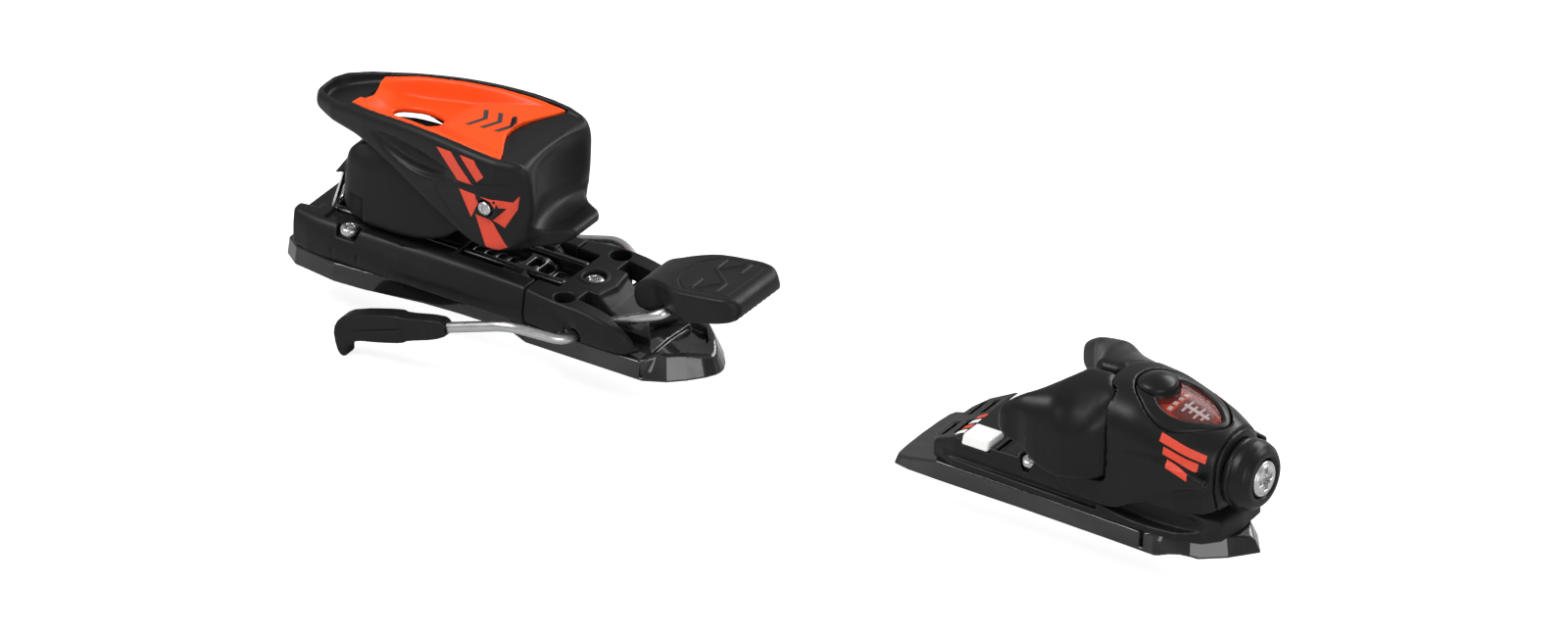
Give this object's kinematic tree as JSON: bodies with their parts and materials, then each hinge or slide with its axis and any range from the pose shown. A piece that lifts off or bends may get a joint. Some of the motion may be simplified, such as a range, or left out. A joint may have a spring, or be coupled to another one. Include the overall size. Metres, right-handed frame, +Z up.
{
  "type": "ski binding",
  "caption": "Alpine step-in ski binding on lifter plates: sliding heel with lever jaw and brake, and a sprung toe with two swinging wings.",
  "frame": {"origin": "on the ski's top sheet, on the centreline, under the middle of the heel's two front screw wells (underside of the heel lifter plate)", "axes": "+X forwards along the ski, from the heel piece to the toe piece; +Y to the left; +Z up from the ski"},
  "size_m": [0.5026, 0.101, 0.1101],
  "materials": {
    "matte_black": "satin moulded glass-filled nylon",
    "smoky_black": "polished smoky black",
    "orange": "satin orange",
    "bright_steel": "zinc-plated, bright",
    "dark_steel": "dark phosphated steel",
    "aluminium": "pressed sheet",
    "white_pad": "low-friction white",
    "scale_red": "printed red scale",
    "lens": "clear tinted window"
  },
  "bodies": {
    "root": {"heel_lifter": "smoky_black", "brake_base": "matte_black", "heel_track": "dark_steel", "heel_center_screw": "bright_steel", "heel_front_screw_left": "dark_steel", "heel_front_screw_right": "dark_steel", "toe_lifter": "smoky_black", "toe_base": "matte_black", "toe_screw_left": "bright_steel", "toe_screw_right": "bright_steel", "toe_housing": "matte_black", "window_bezel": "matte_black", "window_lens": "lens", "window_scale": "scale_red", "wing_pin_left": "dark_steel", "wing_pin_right": "dark_steel", "nose_cap": "matte_black", "toe_spring": "dark_steel"},
    "heel_carriage": {"heel_carriage": "matte_black", "heel_column": "matte_black", "carriage_screw_left": "bright_steel", "carriage_screw_right": "bright_steel", "heel_axle": "bright_steel", "axle_head_left": "bright_steel", "axle_head_right": "bright_steel", "heel_spring": "dark_steel", "rear_bracket": "aluminium"},
    "forward_pressure_screw": {"forward_pressure_screw": "bright_steel"},
    "heel_jaw": {"heel_jaw": "matte_black", "jaw_inlay": "orange"},
    "heel_setting_screw": {"heel_setting_screw": "bright_steel"},
    "heel_indicator_nut": {"heel_indicator_nut": "orange"},
    "heel_plunger": {"heel_plunger": "dark_steel"},
    "brake_pedal": {"brake_pedal": "matte_black"},
    "brake_arm_left": {"brake_wire_left": "bright_steel", "brake_foot_left": "matte_black"},
    "brake_arm_right": {"brake_wire_right": "bright_steel", "brake_foot_right": "matte_black"},
    "toe_wing_left": {"toe_wing_left": "matte_black"},
    "toe_wing_right": {"toe_wing_right": "matte_black"},
    "toe_piston": {"toe_piston": "dark_steel"},
    "toe_setting_screw": {"toe_setting_screw": "bright_steel"},
    "toe_indicator_nut": {"toe_indicator_nut": "orange"},
    "afd_pad": {"afd_pad": "white_pad"}
  },
  "joints": [
    {"name": "carriage_slide", "type": "slide", "parent": "root", "child": "heel_carriage", "axis": [1, 0, 0], "range_m": [-0.016, 0]},
    {"name": "forward_pressure_turn", "type": "hinge", "parent": "heel_carriage", "child": "forward_pressure_screw", "pos_m": [-0.14, 0, 0.015], "axis": [1, 0, 0], "range_deg": [-1440, 0]},
    {"name": "jaw_hinge", "type": "hinge", "parent": "heel_carriage", "child": "heel_jaw", "pos_m": [-0.036, 0, 0.064], "axis": [0, 1, 0], "range_deg": [0, 35]},
    {"name": "heel_plunger_slide", "type": "slide", "parent": "heel_carriage", "child": "heel_plunger", "axis": [1, 0, 0], "range_m": [-0.0028, 0]},
    {"name": "heel_setting_turn", "type": "hinge", "parent": "heel_carriage", "child": "heel_setting_screw", "pos_m": [-0.12, 0, 0.046], "axis": [1, 0, 0], "range_deg": [0, 1080]},
    {"name": "heel_indicator_slide", "type": "slide", "parent": "heel_carriage", "child": "heel_indicator_nut", "axis": [1, 0, 0], "range_m": [-0.0036, 0]},
    {"name": "brake_hinge", "type": "hinge", "parent": "root", "child": "brake_pedal", "pos_m": [0.008, 0, 0.0124], "axis": [0, 1, 0], "range_deg": [0, 17.6]},
    {"name": "brake_arm_left_tuck", "type": "hinge", "parent": "brake_pedal", "child": "brake_arm_left", "pos_m": [0.0474, 0.0125, 0.03], "axis": [0, 0, 1], "range_deg": [0, 3]},
    {"name": "brake_arm_right_tuck", "type": "hinge", "parent": "brake_pedal", "child": "brake_arm_right", "pos_m": [0.0474, -0.0125, 0.03], "axis": [0, 0, 1], "range_deg": [-3, 0]},
    {"name": "wing_left_hinge", "type": "hinge", "parent": "root", "child": "toe_wing_left", "pos_m": [0.274, 0.019, 0.045], "axis": [0, 0, 1], "range_deg": [-25, 0]},
    {"name": "wing_right_hinge", "type": "hinge", "parent": "root", "child": "toe_wing_right", "pos_m": [0.274, -0.019, 0.045], "axis": [0, 0, 1], "range_deg": [0, 25]},
    {"name": "toe_piston_slide", "type": "slide", "parent": "root", "child": "toe_piston", "axis": [1, 0, 0], "range_m": [0, 0.005]},
    {"name": "toe_setting_turn", "type": "hinge", "parent": "root", "child": "toe_setting_screw", "pos_m": [0.345, 0, 0.038], "axis": [1, 0, 0], "range_deg": [0, 1440]},
    {"name": "toe_indicator_slide", "type": "slide", "parent": "root", "child": "toe_indicator_nut", "axis": [1, 0, 0], "range_m": [0, 0.006]},
    {"name": "afd_slide", "type": "slide", "parent": "root", "child": "afd_pad", "axis": [0, 1, 0], "range_m": [-0.005, 0.005]}
  ],
  "couplings": [
    {"joint": "forward_pressure_turn", "follows": "carriage_slide", "rad_per_m": 1570.8},
    {"joint": "heel_plunger_slide", "follows": "jaw_hinge", "m_per_rad": -0.004584},
    {"joint": "heel_setting_turn", "follows": "heel_indicator_slide", "rad_per_m": -5236},
    {"joint": "brake_arm_left_tuck", "follows": "brake_hinge", "ratio": 0.17},
    {"joint": "brake_arm_right_tuck", "follows": "brake_hinge", "ratio": -0.17},
    {"joint": "toe_piston_slide", "follows": "wing_left_hinge", "m_per_rad": -0.01145},
    {"joint": "toe_indicator_slide", "follows": "toe_setting_turn", "m_per_rad": 0.0002387}
  ]
}
